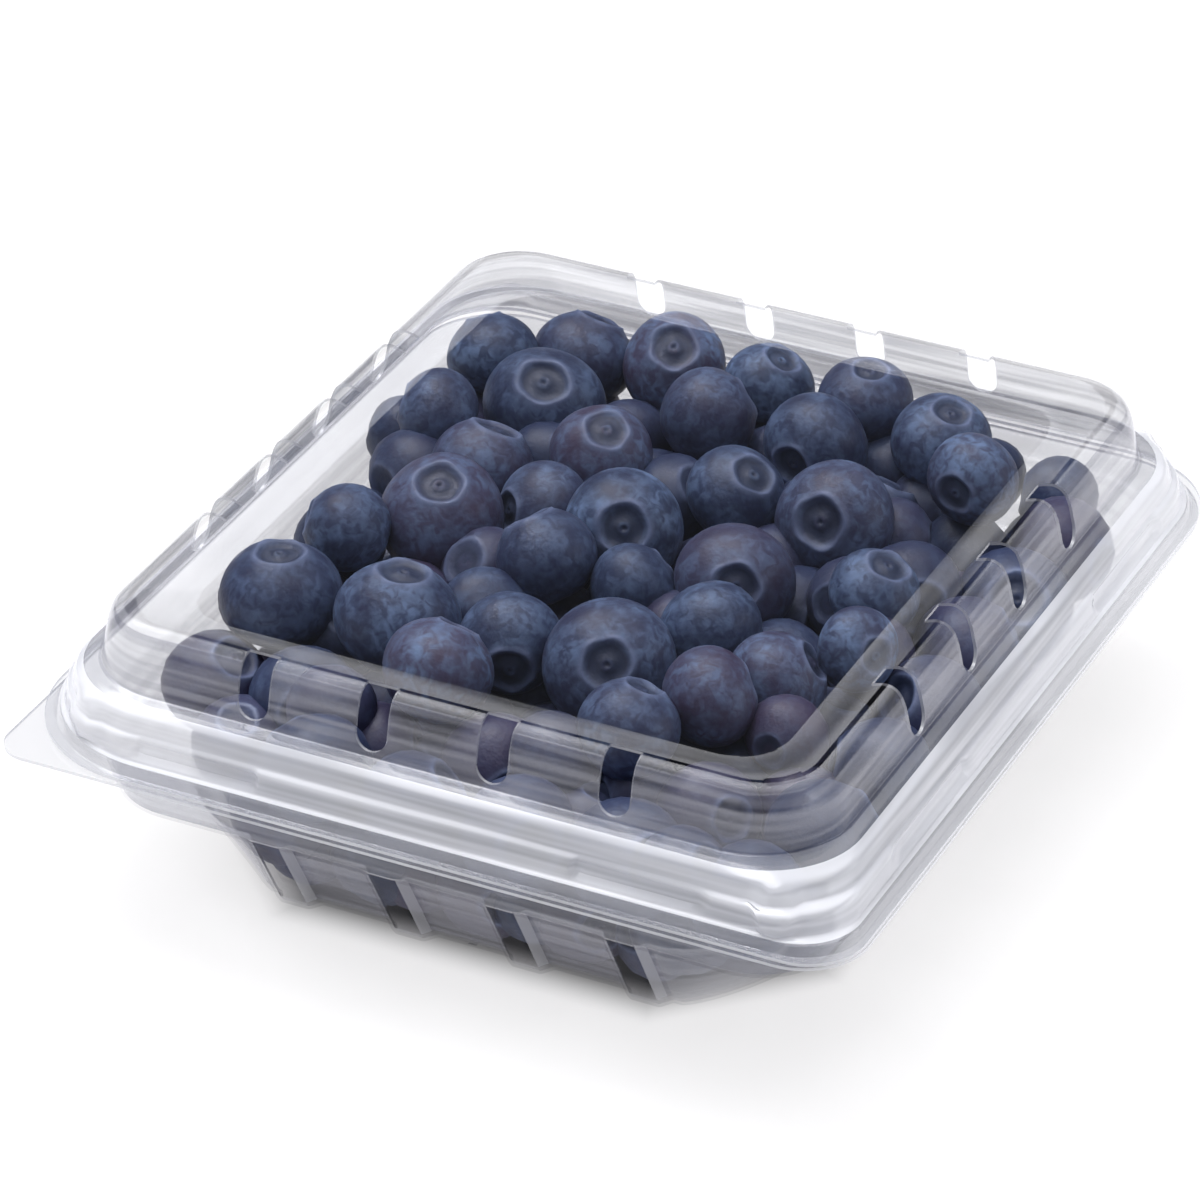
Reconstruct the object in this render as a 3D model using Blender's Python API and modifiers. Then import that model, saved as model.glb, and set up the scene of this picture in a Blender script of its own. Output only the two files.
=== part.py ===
"""A clear hinged clamshell punnet of blueberries, modelled in metres with +Z up.

The front, with the pull tab at its left end, faces -Y. The origin is on the
ground under the middle of the pack. The tub and the lid are thin thermoformed
shells, each lofted through rounded rings. The berries are one lumpy solid.
"""

import math
import random

import bmesh
import bpy

MM = 0.001

# Overall sizes.
HEIGHT = 42.2 * MM
FOOT_HALF_X = 51.8 * MM  # half size of the dome where it meets the ledge
FOOT_HALF_Y = 59.0 * MM
SHEET = 0.5 * MM  # thickness of the plastic sheet
LAYER_PITCH = 0.9 * MM  # height from the tub's flange up to the lid's flange

# The flange that runs round both halves.
FLANGE_OUT = 7.6 * MM  # how far the flange reaches past the dome's foot
FLANGE_CORNERS = (16.0 * MM, 12.0 * MM, 20.0 * MM, 9.0 * MM)  # back right, then anticlockwise
TAB_CORNER = 4.5 * MM  # the tub's flange runs out to a near-square tab at the front left
LID_FLANGE_Z = HEIGHT - 16.7 * MM
TUB_FLANGE_Z = LID_FLANGE_Z - LAYER_PITCH

# The lid's bead, ledge and dome, in order up from the flange.
FLANGE_FOLD_OUT = 6.5 * MM
BEAD_OUT = 6.0 * MM
BEAD_DROP = 15.4 * MM
LEDGE_OUT = 1.9 * MM
LEDGE_DROP = 9.0 * MM
LEDGE_CORNER = 13.0 * MM
FOOT_DROP = 8.4 * MM
FOOT_CORNER = 12.0 * MM
WALL_TOP_OUT = -1.4 * MM
WALL_TOP_DROP = 2.6 * MM
WALL_TOP_CORNER = 9.5 * MM
SHOULDER_OUT = -2.2 * MM
SHOULDER_DROP = 0.9 * MM
SHOULDER_CORNER = 8.5 * MM
RIDGE_OUT = -3.5 * MM
RIDGE_CORNER = 7.5 * MM
WINDOW_OUT = -10.5 * MM
WINDOW_DROP = 2.2 * MM
WINDOW_CORNER = 7.5 * MM
WINDOW_FOLD_OUT = -9.5 * MM
WINDOW_FOLD_DROP = 1.9 * MM

# The vent slots through the lid's shoulder and the ribs down the tub.
PER_SIDE = 4
PITCH = 16.8 * MM
SLOT_WIDTH = 4.4 * MM
SLOT_DROP = 7.8 * MM
SLOT_PAST_RIDGE = (0.7 * MM, 2.3 * MM)  # reach inside the ridge, front and back, then sides
RIB_WIDTH = 4.0 * MM
RIB_SLOPE = 1.1 * MM
RIB_DEPTH = 1.7 * MM

# The tub.
MOUTH_FOLD_OUT = 1.6 * MM
MOUTH_OUT = 1.0 * MM
MOUTH_DEPTH = 0.8 * MM
MOUTH_CORNER = 12.0 * MM
BAND_OUT = -1.5 * MM
BAND_DROP = 27.5 * MM
BAND_CORNER = 10.0 * MM
BODY_OUT = -3.7 * MM
BODY_DROP = 28.2 * MM
BASE_OUT = -10.7 * MM
BASE_RISE = 1.3 * MM
STRAIGHT_HALF = 28.6 * MM  # the ribbed stretch of each side, before its cut corner
BODY_BULGE = 1.7  # how full the body's corners are: 1 is a straight cut, 2 is round
BASE_BULGE = 1.3
STRIP_OUT = -11.5 * MM  # the strip round the base that stands on the ground
STRIP_WIDTH = 3.2 * MM
GROUND_SNAP = 0.2 * MM  # what lies below this is pressed flat on the ground
FLOOR_RISE = 1.6 * MM

# The berries, packed in millimetres: those on top are (x, y, radius, drop below the panel).
TOP_BERRIES = (
    (-41, 41, 6.4, 0.6), (-31, 35, 8.1, 0.0), (-32, 50.5, 7.0, 2.4),
    (-18, 50.5, 7.2, 0.0), (-7.5, 39, 6.7, 0.4), (-4, 51.5, 6.2, 1.6),
    (10.5, 52, 6.6, 0.0), (9, 39.5, 7.2, 0.0), (24, 47, 6.9, 0.3),
    (32.5, 38, 6.1, 0.0), (-39.5, 22, 5.8, 0.6), (-31, 17, 6.9, 2.2),
    (-30, 0.5, 8.5, 0.0), (-20, 12.5, 6.8, 3.2), (-16.5, 23, 6.8, 0.8),
    (-6, 7.5, 7.9, 0.0), (4.5, 22.5, 6.6, 1.0), (19, 22.5, 7.9, 0.0),
    (14, 1.5, 7.7, 0.0), (-12, -7, 6.7, 1.6), (-22, -24.5, 7.9, 0.0),
    (-39.5, -25, 7.9, 1.0), (-37, -7.5, 6.0, 1.2), (6, -21.5, 8.5, 0.0),
    (-6.5, -22, 6.7, 2.6), (1, -2.5, 6.0, 3.2), (-13, -12.5, 6.2, 3.4),
    (15.5, -11.5, 6.7, 0.8), (28.5, -16.5, 6.7, 1.4), (32, 6, 6.0, 0.6),
    (34.5, -9.5, 5.4, 1.4), (23, -27, 6.3, 0.4), (-11, -34.5, 7.2, 0.2),
    (18, -35, 6.6, 0.6),
)
PANEL = 39.4  # the height that the berries may reach
GROUND_GAP = 2.1
# Rows pressed to a wall: whether along x, first place, count, place across, centre height.
WALL_ROWS = (
    (True, -37.0, 6, -52.0, 27.5),
    (False, -36.0, 6, 45.0, 28.0),
    (True, -38.0, 6, 52.0, 20.0),
    (False, -22.0, 5, -45.0, 17.0),
    (True, -30.0, 5, -48.0, 13.0),
    (False, -32.0, 5, 42.0, 12.5),
)
WALL_STEP = 15.4
WALL_SIZES = (7.2, 8.2)
WALL_UNEVEN = (1.0, 1.2)  # how far a berry is out of its row, along and up
WALL_LOOSE = 0.6  # how readily a berry in a wall row moves
FIRST_TURNS = 30  # settling turns before the fill
FILLS = ((6.8, 8.5, 0.83, 60), (5.8, 7.4, 0.82, 120))  # radii, least distance share, settling turns
FILL_TRIES = 9000
FILL_REACH = (50, 58)  # half sizes of the space that the fill is dropped in
FILL_HEIGHTS = (8, 30)
FILL_DROP = 5.0
FILL_SLACK = 1.5  # how far a berry may start outside the room
HOME_PULL = 0.05  # how strongly a berry on top is drawn back, each turn
SINK = 0.02  # how far a loose berry sinks, each turn
TOP_CLEAR = 3.5  # how far a loose berry stays below the heap's top
SQUASH = 0.965  # how near two centres may come, as a share of their radii
FIRM = 0.12  # how readily a berry on top moves, against 1 for one below
BERRY_SEED = 7
EMPTY_NEAR = 14.0  # the front left corner is empty to here, and full from EMPTY_FAR
EMPTY_FAR = 30.0
EMPTY_DROP = 17.0
EDGE_SLOPE = 8.0  # how fast the heap falls towards the front and the two ends
FRONT_FROM = 0.6  # where it starts to fall, as shares of the half sizes
SIDE_FROM = 0.72
# The room inside the shells: how far out at each height, and how its corners are cut.
ROOM_LEVELS = (0.5, 1.4, 14.1, 14.7, 24.0, 33.7, 39.5)
ROOM_OUTS = (-12.1, -11.3, -4.3, -2.3, 0.2, -0.9, -2.2)
CUT_LEVELS = (1.4, 14.1, 14.9)
CUT_SHARES = (0.587, 0.665, 0.86)
CUT_STARTS = (28.6, 40.0)

# The heap's outline.
WALL_GAP = 0.6 * MM
HEAP_OUT = -2.2 * MM  # the heap's outline at the dome's foot
HEAP_CORNER = 14.0 * MM
HEAP_SHOULDER = 6.0 * MM  # how far the side stops below the heap's top
LOWEST_RIM = 17.0 * MM  # the heap's least height at its side, where the corner is empty
BODY_LEVELS = (2.9 * MM, 5.5 * MM, 8.2 * MM, 10.8 * MM, 13.3 * MM, 15.8 * MM)
MOUTH_SHARES = (0.1, 0.3, 0.5, 0.7, 0.85, 1.0)
DENT = 4.0 * MM  # deepest dip between berries at the side
HEAP_RINGS = 16
HEAP_TURN = 84

CORNER_STEPS = 6


def rib_centres():
    """Return the places of the slots and ribs along a side, in order."""
    first = -0.5 * (PER_SIDE - 1) * PITCH
    return [first + index * PITCH for index in range(PER_SIDE)]


def rib_stations():
    """Return (place, depth share) along a side for the four corners of each rib."""
    half = RIB_WIDTH / 2
    stations = []
    for centre in rib_centres():
        stations.append((centre - half - RIB_SLOPE, 0.0))
        stations.append((centre - half, 1.0))
        stations.append((centre + half, 1.0))
        stations.append((centre + half + RIB_SLOPE, 0.0))
    return stations


def corner_points(half, reach, signs, bulge):
    """Return one corner of a ring, anticlockwise, as a quarter superellipse."""
    sign_x, sign_y = signs
    points = []
    for step in range(CORNER_STEPS + 1):
        angle = math.pi / 2 * step / CORNER_STEPS
        if sign_x * sign_y < 0:
            angle = math.pi / 2 - angle
        along_x = max(math.cos(angle), 0.0) ** (2 / bulge)
        along_y = max(math.sin(angle), 0.0) ** (2 / bulge)
        x = sign_x * (half[0] - reach[0] + reach[0] * along_x)
        y = sign_y * (half[1] - reach[1] + reach[1] * along_y)
        points.append((x, y))
    return points


def side_points(half, rib_depth, turn):
    """Return the rib points along the side that follows corner number turn."""
    points = []
    for place, share in rib_stations():
        out_x = half[0] + share * rib_depth
        out_y = half[1] + share * rib_depth
        points.append(((-place, out_y), (-out_x, -place), (place, -out_y), (out_x, place))[turn])
    return points


def ring(out, z, corners, rib_depth=None, bulge=2.0):
    """Return a closed ring of points at height z, out past the dome's foot.

    corners holds the reach of each corner along x and y, from the back right one
    anticlockwise. With a rib depth, the ring has points for the ribs as well.
    """
    half = (FOOT_HALF_X + out, FOOT_HALF_Y + out)
    outline = []
    for turn, signs in enumerate(((1, 1), (-1, 1), (-1, -1), (1, -1))):
        outline += corner_points(half, corners[turn], signs, bulge)
        if rib_depth is not None:
            outline += side_points(half, rib_depth, turn)
    return [(x, y, z) for x, y in outline]


def round_corners(*radii):
    """Return corners for ring(), all of one radius or of four."""
    if len(radii) == 1:
        radii = radii * 4
    return [(radius, radius) for radius in radii]


def cut_corners(out):
    """Return corners for ring() that start where the ribbed stretch ends."""
    return [(FOOT_HALF_X + out - STRAIGHT_HALF, FOOT_HALF_Y + out - STRAIGHT_HALF)] * 4


def loft(name, rings, close_first=False, close_last=True):
    """Join rings of equal length into one surface and return it as a mesh."""
    shape = bmesh.new()
    rows = [[shape.verts.new(point) for point in points] for points in rings]
    count = len(rows[0])
    for inner, outer in zip(rows, rows[1:]):
        for index in range(count):
            after = (index + 1) % count
            shape.faces.new((inner[index], inner[after], outer[after], outer[index]))
    if close_first:
        shape.faces.new(rows[0])
    if close_last:
        shape.faces.new(rows[-1])
    bmesh.ops.recalc_face_normals(shape, faces=shape.faces)
    mesh = bpy.data.meshes.new(name)
    shape.to_mesh(mesh)
    shape.free()
    return mesh


def material(name, colour, roughness, alpha=1.0):
    """Return a Principled material."""
    made = bpy.data.materials.new(name)
    made.use_nodes = True
    shader = made.node_tree.nodes["Principled BSDF"]
    shader.inputs["Base Color"].default_value = (*colour, 1.0)
    shader.inputs["Roughness"].default_value = roughness
    shader.inputs["Metallic"].default_value = 0.0
    shader.inputs["Alpha"].default_value = alpha
    made.diffuse_color = (*colour, alpha)
    return made


def add_object(name, mesh, collection, surface=None):
    """Put a mesh in the scene as a named object."""
    made = bpy.data.objects.new(name, mesh)
    collection.objects.link(made)
    if surface:
        mesh.materials.append(surface)
    return made


def add_sheet(made):
    """Give an open surface the thickness of the plastic sheet."""
    solid = made.modifiers.new("sheet", "SOLIDIFY")
    solid.thickness = SHEET
    solid.offset = 0.0
    solid.use_even_offset = True
    solid.use_rim = True


def lid_rings():
    """Return the lid's rings, from its flange up to the window panel."""
    flange = round_corners(*FLANGE_CORNERS)
    bead_step = FLANGE_OUT - BEAD_OUT
    bead = round_corners(*(radius - bead_step for radius in FLANGE_CORNERS))
    window = round_corners(WINDOW_CORNER)
    return [
        ring(FLANGE_OUT, LID_FLANGE_Z, flange),
        ring(FLANGE_FOLD_OUT, LID_FLANGE_Z, bead),
        ring(BEAD_OUT, HEIGHT - BEAD_DROP, bead),
        ring(LEDGE_OUT, HEIGHT - LEDGE_DROP, round_corners(LEDGE_CORNER)),
        ring(0.0, HEIGHT - FOOT_DROP, round_corners(FOOT_CORNER)),
        ring(WALL_TOP_OUT, HEIGHT - WALL_TOP_DROP, round_corners(WALL_TOP_CORNER)),
        ring(SHOULDER_OUT, HEIGHT - SHOULDER_DROP, round_corners(SHOULDER_CORNER)),
        ring(RIDGE_OUT, HEIGHT - SHEET / 2, round_corners(RIDGE_CORNER)),
        ring(WINDOW_FOLD_OUT, HEIGHT - WINDOW_FOLD_DROP, window),
        ring(WINDOW_OUT, HEIGHT - WINDOW_DROP, window),
    ]


def slot_prism(shape, place, turn):
    """Add one slot cutter: straight sides, a round foot, cut through one side."""
    half = SLOT_WIDTH / 2
    outline = [(half, SLOT_WIDTH), (-half, SLOT_WIDTH)]
    foot = -SLOT_DROP + half
    for step in range(CORNER_STEPS + 3):
        angle = math.pi + math.pi * step / (CORNER_STEPS + 2)
        outline.append((half * math.cos(angle), foot + half * math.sin(angle)))
    side_half = FOOT_HALF_Y if turn % 2 == 0 else FOOT_HALF_X
    near = side_half + RIDGE_OUT - SLOT_PAST_RIDGE[turn % 2]
    far = side_half + LEDGE_OUT + SLOT_WIDTH
    angle = math.pi / 2 * turn
    verts = []
    for along, up in outline:
        x = (place + along) * math.cos(angle) - near * math.sin(angle)
        y = (place + along) * math.sin(angle) + near * math.cos(angle)
        verts.append(shape.verts.new((x, y, HEIGHT + up)))
    face = shape.faces.new(verts)
    grown = bmesh.ops.extrude_face_region(shape, geom=[face])["geom"]
    moved = [part for part in grown if isinstance(part, bmesh.types.BMVert)]
    push = far - near
    bmesh.ops.translate(shape, verts=moved, vec=(-push * math.sin(angle), push * math.cos(angle), 0))


def slot_cutter(collection):
    """Return the hidden cutter for all the vent slots."""
    shape = bmesh.new()
    for turn in range(4):
        for place in rib_centres():
            slot_prism(shape, place, turn)
    bmesh.ops.recalc_face_normals(shape, faces=shape.faces)
    mesh = bpy.data.meshes.new("slot_cutter")
    shape.to_mesh(mesh)
    shape.free()
    cutter = add_object("slot_cutter", mesh, collection)
    cutter.hide_render = True
    cutter.display_type = "WIRE"
    return cutter


def make_lid(collection, cutters):
    """Make the domed lid with its recessed window and vent slots."""
    surface = material("lid_plastic", (0.86, 0.88, 0.90), 0.12, 0.35)
    lid = add_object("lid", loft("lid", lid_rings()), collection, surface)
    add_sheet(lid)
    slots = lid.modifiers.new("slots", "BOOLEAN")
    slots.operation = "DIFFERENCE"
    slots.solver = "EXACT"
    slots.object = slot_cutter(cutters)
    return lid


def tub_rings():
    """Return the tub's rings, from its flange down and in to the raised floor."""
    flange = list(FLANGE_CORNERS)
    flange[2] = TAB_CORNER
    mouth = round_corners(MOUTH_CORNER)
    strip_in = STRIP_OUT - STRIP_WIDTH
    floor = strip_in - FLOOR_RISE
    return [
        ring(FLANGE_OUT, TUB_FLANGE_Z, round_corners(*flange), 0.0),
        ring(MOUTH_FOLD_OUT, TUB_FLANGE_Z, mouth, 0.0),
        ring(MOUTH_OUT, TUB_FLANGE_Z - MOUTH_DEPTH, mouth, 0.0),
        ring(BAND_OUT, HEIGHT - BAND_DROP, round_corners(BAND_CORNER), 0.0),
        ring(BODY_OUT, HEIGHT - BODY_DROP, cut_corners(BODY_OUT), RIB_DEPTH, BODY_BULGE),
        ring(BASE_OUT, BASE_RISE, cut_corners(BASE_OUT), RIB_DEPTH, BASE_BULGE),
        ring(STRIP_OUT, SHEET / 2, cut_corners(STRIP_OUT), RIB_DEPTH, BASE_BULGE),
        ring(strip_in, SHEET / 2, cut_corners(strip_in), 0.0, BASE_BULGE),
        ring(floor, FLOOR_RISE, cut_corners(floor), 0.0, BASE_BULGE),
    ]


def press_foot_flat(made):
    """Make the sheet's thickness part of the mesh, with the foot strip flat on the ground."""
    graph = bpy.context.evaluated_depsgraph_get()
    mesh = bpy.data.meshes.new_from_object(made.evaluated_get(graph))
    for vert in mesh.vertices:
        if vert.co.z < GROUND_SNAP:
            vert.co.z = 0.0
    made.modifiers.clear()
    made.data = mesh


def make_tub(collection):
    """Make the tapered, ribbed tub with its flange and pull tab."""
    surface = material("tub_plastic", (0.86, 0.88, 0.90), 0.12, 0.35)
    tub = add_object("tub", loft("tub", tub_rings()), collection, surface)
    add_sheet(tub)
    press_foot_flat(tub)
    return tub


def body_ring(z):
    """Return the berries' smooth outline inside the tub's cut body at height z."""
    share = min((z - BASE_RISE) / (HEIGHT - BODY_DROP - BASE_RISE), 1.0)
    out = BASE_OUT + share * (BODY_OUT - BASE_OUT) - WALL_GAP - SHEET
    bulge = BASE_BULGE + share * (BODY_BULGE - BASE_BULGE)
    return ring(out, z, cut_corners(out), bulge=bulge)


def mouth_ring(z):
    """Return the berries' smooth outline in the tub's mouth and the dome at height z."""
    foot_z = HEIGHT - FOOT_DROP
    share = (foot_z - z) / (foot_z - BODY_LEVELS[-1])
    out = min(HEAP_OUT + (BODY_OUT - HEAP_OUT) * share, HEAP_OUT)
    return ring(out, z, round_corners(HEAP_CORNER))


def even_turn(points):
    """Return HEAP_TURN points spaced evenly round a closed outline."""
    closed = points + points[:1]
    lengths = [math.dist(a, b) for a, b in zip(closed, closed[1:])]
    whole = sum(lengths)
    spaced = []
    index = 0
    passed = 0.0
    for step in range(HEAP_TURN):
        wanted = whole * step / HEAP_TURN
        while passed + lengths[index] < wanted:
            passed += lengths[index]
            index += 1
        share = (wanted - passed) / lengths[index]
        start, end = closed[index], closed[index + 1]
        spaced.append(tuple(a + share * (b - a) for a, b in zip(start, end)))
    return spaced


def between(value, stops, results):
    """Read results at stops along straight lines."""
    if value <= stops[0]:
        return results[0]
    for low, high, first, second in zip(stops, stops[1:], results, results[1:]):
        if value <= high:
            return first + (second - first) * (value - low) / (high - low)
    return results[-1]


def room(z):
    """Return the half sizes of the space inside the shells at z, and its corner cut, in mm."""
    out = between(z, ROOM_LEVELS, ROOM_OUTS)
    half_x, half_y = FOOT_HALF_X / MM + out, FOOT_HALF_Y / MM + out
    full = between(z, CUT_LEVELS, CUT_SHARES)
    inner = between(z, CUT_LEVELS[1:], CUT_STARTS)
    return half_x, half_y, 2 * inner + full * (half_x + half_y - 2 * inner)


def heap_height(x, y):
    """Return the smooth height of the heap in mm: lower at its edges, empty at one corner."""
    corner = math.hypot(x + FOOT_HALF_X / MM, y + FOOT_HALF_Y / MM)
    empty = min(max((EMPTY_FAR - corner) / (EMPTY_FAR - EMPTY_NEAR), 0.0), 1.0)
    front = max(0.0, -y / (FOOT_HALF_Y / MM) - FRONT_FROM)
    side = max(0.0, abs(x) / (FOOT_HALF_X / MM) - SIDE_FROM)
    return PANEL - EMPTY_DROP * empty - EDGE_SLOPE * (front + side)


def held(x, y, z, size):
    """Return a berry's centre, moved inside the shells."""
    z = min(max(z, GROUND_GAP + size), PANEL - size)
    half_x, half_y, cut = room(z)
    x = min(max(x, size - half_x), half_x - size)
    y = min(max(y, size - half_y), half_y - size)
    over = abs(x) + abs(y) - (cut - math.sqrt(2) * size)
    if over > 0:
        x -= math.copysign(over / 2, x)
        y -= math.copysign(over / 2, y)
    return x, y, z


def wall_rows(chance):
    """Return rows of berries pressed to the walls, below the ones on top."""
    rows = []
    for along_x, first, count, away, z in WALL_ROWS:
        for index in range(count):
            size = chance.uniform(*WALL_SIZES)
            along = first + index * WALL_STEP + chance.uniform(-WALL_UNEVEN[0], WALL_UNEVEN[0])
            x, y = (along, away) if along_x else (away, along)
            here = z + chance.uniform(-WALL_UNEVEN[1], WALL_UNEVEN[1])
            rows.append([*held(x, y, here, size), size, WALL_LOOSE])
    return rows


def drop_in(rows, sizes, least, chance):
    """Add berries at chance places where there is nearly room."""
    wide, deep = FILL_REACH
    for _ in range(FILL_TRIES):
        size = chance.uniform(*sizes)
        x, y = chance.uniform(-wide, wide), chance.uniform(-deep, deep)
        spot = (x, y, chance.uniform(*FILL_HEIGHTS))
        if spot[2] + size > heap_height(x, y) - FILL_DROP:
            continue
        if math.dist(held(*spot, size), spot) > FILL_SLACK:
            continue
        if all(math.dist(spot, other[:3]) > least * (size + other[3]) for other in rows):
            rows.append([*spot, size, 1.0])


def pushes(rows):
    """Return how far each berry is pushed by the ones it overlaps."""
    moves = [[0.0, 0.0, 0.0] for _ in rows]
    for here, first in enumerate(rows):
        for there in range(here + 1, len(rows)):
            second = rows[there]
            need = (first[3] + second[3]) * SQUASH
            apart = math.dist(first[:3], second[:3])
            if apart >= need:
                continue
            push = 0.5 * (need - apart) / apart
            share = first[4] / (first[4] + second[4])
            for axis in range(3):
                part = (first[axis] - second[axis]) * push
                moves[here][axis] += part * share
                moves[there][axis] -= part * (1 - share)
    return moves


def settle(rows, homes, turns):
    """Push overlapping berries apart, and keep the ones on top near their places."""
    for _ in range(turns):
        for row, home, move in zip(rows, homes, pushes(rows)):
            place = [row[axis] + move[axis] for axis in range(3)]
            if home:
                place = [spot + (want - spot) * HOME_PULL for spot, want in zip(place, home)]
            else:
                highest = heap_height(place[0], place[1]) - row[3] - TOP_CLEAR
                place[2] = min(place[2] - SINK, highest)
            row[:3] = held(*place, row[3])


def place_berries():
    """Return (x, y, z, radius) of every berry in metres, the ones on top first."""
    chance = random.Random(BERRY_SEED)
    rows = [[x, y, PANEL - size - drop, size, FIRM] for x, y, size, drop in TOP_BERRIES]
    homes = [tuple(row[:3]) for row in rows]
    rows += wall_rows(chance)
    homes += [None] * (len(rows) - len(homes))
    settle(rows, homes, FIRST_TURNS)
    for smallest, largest, least, turns in FILLS:
        drop_in(rows, (smallest, largest), least, chance)
        homes += [None] * (len(rows) - len(homes))
        settle(rows, homes, turns)
    return [tuple(value * MM for value in row[:4]) for row in rows]


def rim_height(x, y):
    """Return the height in metres that the heap's side ends at, and its dips go down to."""
    return max(heap_height(x / MM, y / MM) * MM - HEAP_SHOULDER, LOWEST_RIM)


def lumpy_top(x, y, berries):
    """Return the height of the highest berry above a point, or the dip between berries."""
    height = rim_height(x, y)
    for berry_x, berry_y, berry_z, radius in berries:
        apart = (x - berry_x) ** 2 + (y - berry_y) ** 2
        if apart < radius**2:
            height = max(height, berry_z + math.sqrt(radius**2 - apart))
    return min(height, PANEL * MM)


def lumpy_side(point, berries):
    """Move a point of the outline in to the nearest berry, by at most the dent."""
    x, y, z = point
    size = math.hypot(x, y)
    inward = (-x / size, -y / size)
    dent = DENT
    for berry_x, berry_y, berry_z, radius in berries:
        along = (berry_x - x) * inward[0] + (berry_y - y) * inward[1]
        away = (berry_x - x) ** 2 + (berry_y - y) ** 2 + (berry_z - z) ** 2 - along**2
        if away < radius**2:
            dent = min(dent, max(0.0, along - math.sqrt(radius**2 - away)))
    return (x + inward[0] * dent, y + inward[1] * dent, z)


def heap_rings():
    """Return the heap's rings, from its underside up the side and in over the top."""
    berries = place_berries()
    smooth = [even_turn(body_ring(z)) for z in BODY_LEVELS]
    top_z = BODY_LEVELS[-1]
    rim = even_turn(mouth_ring(HEIGHT - FOOT_DROP))
    heights = [rim_height(x, y) for x, y, _ in rim]
    for share in MOUTH_SHARES:
        levels = [top_z + share * (height - top_z) for height in heights]
        smooth.append([even_turn(mouth_ring(z))[index] for index, z in enumerate(levels)])
    rings = [[lumpy_side(point, berries) for point in outline] for outline in smooth]
    edge = rings[-1]
    for step in range(1, HEAP_RINGS + 1):
        scale = 1 - step / (HEAP_RINGS + 1)
        row = [(x * scale, y * scale) for x, y, _ in edge]
        rings.append([(x, y, lumpy_top(x, y, berries)) for x, y in row])
    return rings


def make_heap(collection):
    """Make the heap of berries as one solid, out to its uneven outline."""
    surface = material("berry_skin", (0.07, 0.09, 0.19), 0.55)
    mesh = loft("berry_heap", heap_rings(), close_first=True)
    return add_object("berry_heap", mesh, collection, surface)


def smooth_round_faces(made):
    """Shade round stretches smooth and keep folds sharp."""
    made.data.shade_smooth()
    made.data.set_sharp_from_angle(angle=math.radians(35))


def main():
    for old in list(bpy.data.objects):
        bpy.data.objects.remove(old)
    pack = bpy.data.collections.new("blueberry_punnet")
    cutters = bpy.data.collections.new("cutters")
    bpy.context.scene.collection.children.link(pack)
    bpy.context.scene.collection.children.link(cutters)
    for made in (make_tub(pack), make_lid(pack, cutters), make_heap(pack)):
        smooth_round_faces(made)


main()
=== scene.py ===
"""The looks of the punnet: clear vented clamshell, real berries, pale floor and soft light."""

import math
import random

import bmesh
import bpy
import numpy as np
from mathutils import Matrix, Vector

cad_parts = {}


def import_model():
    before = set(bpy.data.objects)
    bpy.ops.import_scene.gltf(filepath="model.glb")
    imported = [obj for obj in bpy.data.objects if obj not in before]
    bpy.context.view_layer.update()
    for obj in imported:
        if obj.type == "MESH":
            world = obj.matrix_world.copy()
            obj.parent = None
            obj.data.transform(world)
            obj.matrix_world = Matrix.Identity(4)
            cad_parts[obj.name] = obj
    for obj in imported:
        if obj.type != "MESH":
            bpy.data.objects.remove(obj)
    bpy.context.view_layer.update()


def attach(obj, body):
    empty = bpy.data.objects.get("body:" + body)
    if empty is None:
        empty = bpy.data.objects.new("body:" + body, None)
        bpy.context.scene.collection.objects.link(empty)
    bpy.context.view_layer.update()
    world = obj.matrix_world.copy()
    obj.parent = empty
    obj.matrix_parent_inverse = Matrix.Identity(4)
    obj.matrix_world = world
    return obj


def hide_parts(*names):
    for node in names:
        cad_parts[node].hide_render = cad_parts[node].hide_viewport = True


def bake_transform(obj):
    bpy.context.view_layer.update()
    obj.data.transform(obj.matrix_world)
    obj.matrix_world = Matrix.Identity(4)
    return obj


MM = 0.001

# The pack's own sizes, in millimetres, as in the solids.
HEIGHT = 42.2
FOOT_HALF = (51.8, 59.0)
SHEET = 0.42
FLANGE_CORNERS = (16.0, 12.0, 20.0, 9.0)
TAB_CORNER = 4.5
FLANGE_OUT = 7.6  # how far the flanges reach past the foot
LID_FLANGE_Z = 25.5
TUB_FLANGE_Z = 24.6
PITCH = 16.8
PER_SIDE = 4
SLOT_WIDTH = 4.4
SLOT_FOOT = 7.8
SLOT_PAST = (0.7, 2.3)
RIB_HALF = 2.0
RIB_SLOPE = 1.1
RIB_DEPTH = 1.7
STRAIGHT_HALF = 28.6
CORNER_STEPS = 14
MIDDLE_STEPS = 24  # even places on each half of a side's middle
EDGE_NUDGE = 0.12  # a rib's edge is a pair of places this far to each side of it
EDGE_CLEAR = 0.25  # even places this near to a rib's edge are left out
LID_ENDS, TUB_ENDS = 18, 4  # steps from the middle of a side to its corner
LID_STEP, TUB_STEP = 0.75, 0.8  # the longest steps up the shells' walls
BEAD_RISE = 1.4  # the lid's lower wall starts this far over its flange
LOWER_WALL_DROP = 9.1  # and ends this far below the top
DOME_DROP = 8.6  # the dome's wall starts here
SHOULDER_DROP = 2.8  # and rounds over into the raised border from here
STEEP, LEVEL = 0.8, 0.985  # the upward share of a normal at the border's outer and inner ends
BAND_Z = 14.2  # the tub's plain band is above this
FLOOR_Z = 1.6
MARKS_LOW, MARKS_HIGH = 26.9, 33.1  # marks are pressed between these heights
MARK_REACH = 4.5  # and this near to their own plane
MARK_EDGE = 0.8  # the width of a mark's slope
HINGE_HALF, HINGE_STEP = 42, 6  # the film's half length and its steps along x
HINGE_OUT = 7.55  # where the film starts, past the foot
HINGE_BOW = (0.5, 0.45)  # and how far it bows out and up
HINGE_SHEET = 0.2

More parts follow.
